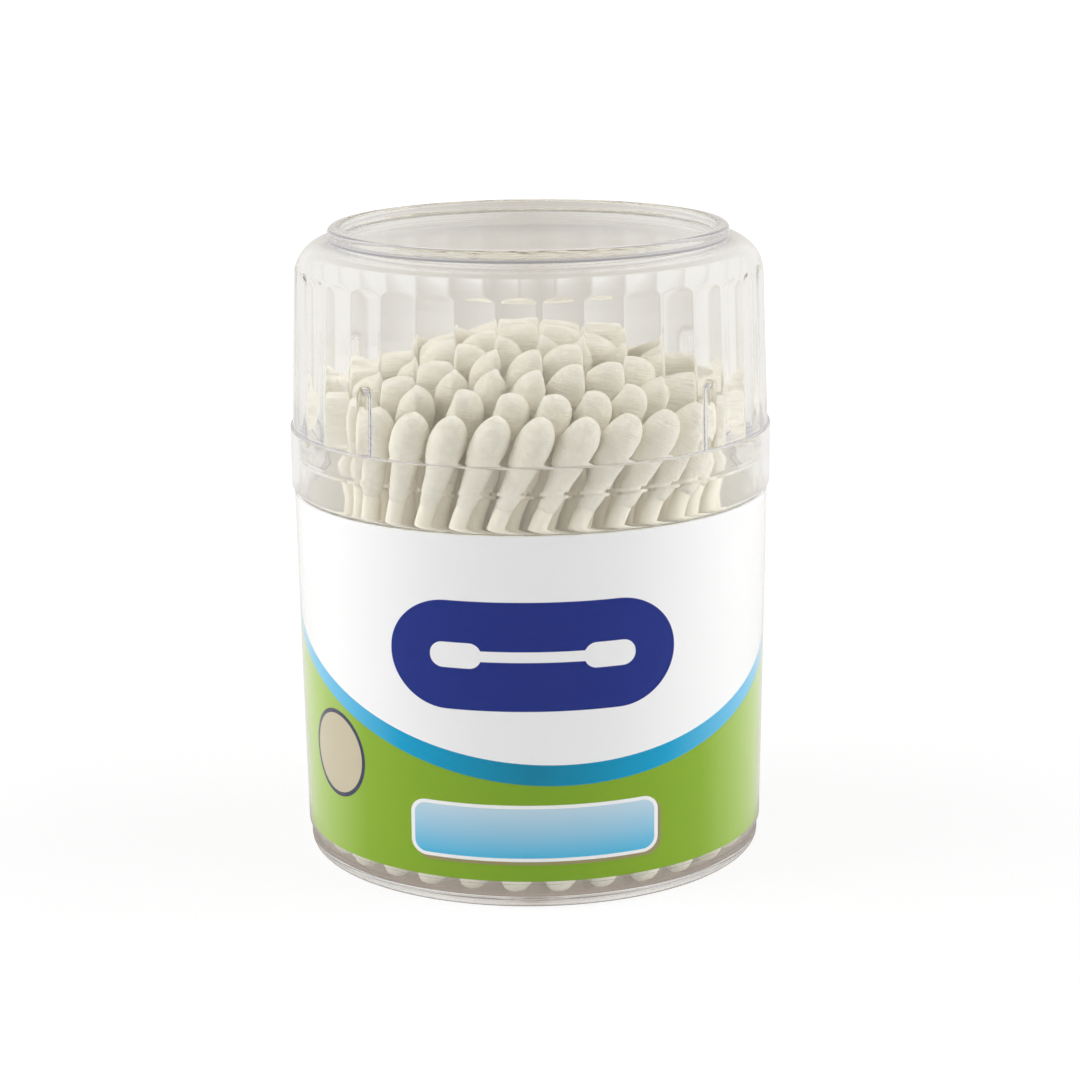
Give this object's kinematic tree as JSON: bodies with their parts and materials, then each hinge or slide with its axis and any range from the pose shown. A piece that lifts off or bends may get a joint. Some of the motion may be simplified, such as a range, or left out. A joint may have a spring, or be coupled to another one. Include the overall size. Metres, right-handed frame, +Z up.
{
  "type": "cotton swab tub",
  "caption": "Clear round plastic tub of cotton swabs with a lift-off faceted lid, a wrap label and double-ended swabs standing inside in a loose twist",
  "frame": {"origin": "centre of the foot ring's underside, on the plane that the tub stands on", "axes": "+Z up along the tub's axis, -Y towards the front of the label, +X to its right as seen from the front"},
  "size_m": [0.069, 0.069, 0.091],
  "materials": {
    "clear_plastic": "clear, polished",
    "clear_film": "clear, gloss",
    "label_white": "satin white film",
    "print_green": "printed",
    "print_blue": "printed",
    "print_navy": "printed",
    "print_white": "printed",
    "print_light_blue": "printed",
    "print_tan": "printed",
    "print_beige": "printed",
    "print_dark": "printed",
    "stick_paper": "rolled paper, matte",
    "cotton": "loose cotton fibre"
  },
  "bodies": {
    "tub": {"label": "label_white", "label_film": "clear_film", "print_blue_band": "print_blue", "print_disc": "print_beige", "print_disc_border": "print_dark", "print_green_field": "print_green", "print_info_keyline": "print_white", "print_info_panel": "print_light_blue", "print_info_shadow": "print_tan", "print_navy_panel": "print_navy", "print_swab_sign": "print_white", "swab_group_1_lower_buds": "cotton", "swab_group_1_sticks": "stick_paper", "swab_group_1_upper_buds": "cotton", "swab_group_2_lower_buds": "cotton", "swab_group_2_sticks": "stick_paper", "swab_group_2_upper_buds": "cotton", "swab_group_3_lower_buds": "cotton", "swab_group_3_sticks": "stick_paper", "swab_group_3_upper_buds": "cotton", "swab_group_4_lower_buds": "cotton", "swab_group_4_sticks": "stick_paper", "swab_group_4_upper_buds": "cotton", "swab_group_5_lower_buds": "cotton", "swab_group_5_sticks": "stick_paper", "swab_group_5_upper_buds": "cotton", "swab_group_6_lower_buds": "cotton", "swab_group_6_sticks": "stick_paper", "swab_group_6_upper_buds": "cotton", "swab_group_7_lower_buds": "cotton", "swab_group_7_sticks": "stick_paper", "swab_group_7_upper_buds": "cotton", "swab_group_8_lower_buds": "cotton", "swab_group_8_sticks": "stick_paper", "swab_group_8_upper_buds": "cotton", "tub": "clear_plastic"},
    "lid": {"lid": "clear_plastic"}
  },
  "joints": [
    {"name": "lid_lift", "type": "slide", "parent": "tub", "child": "lid", "axis": [0, 0, 1], "range_m": [0, 0.045]}
  ]
}
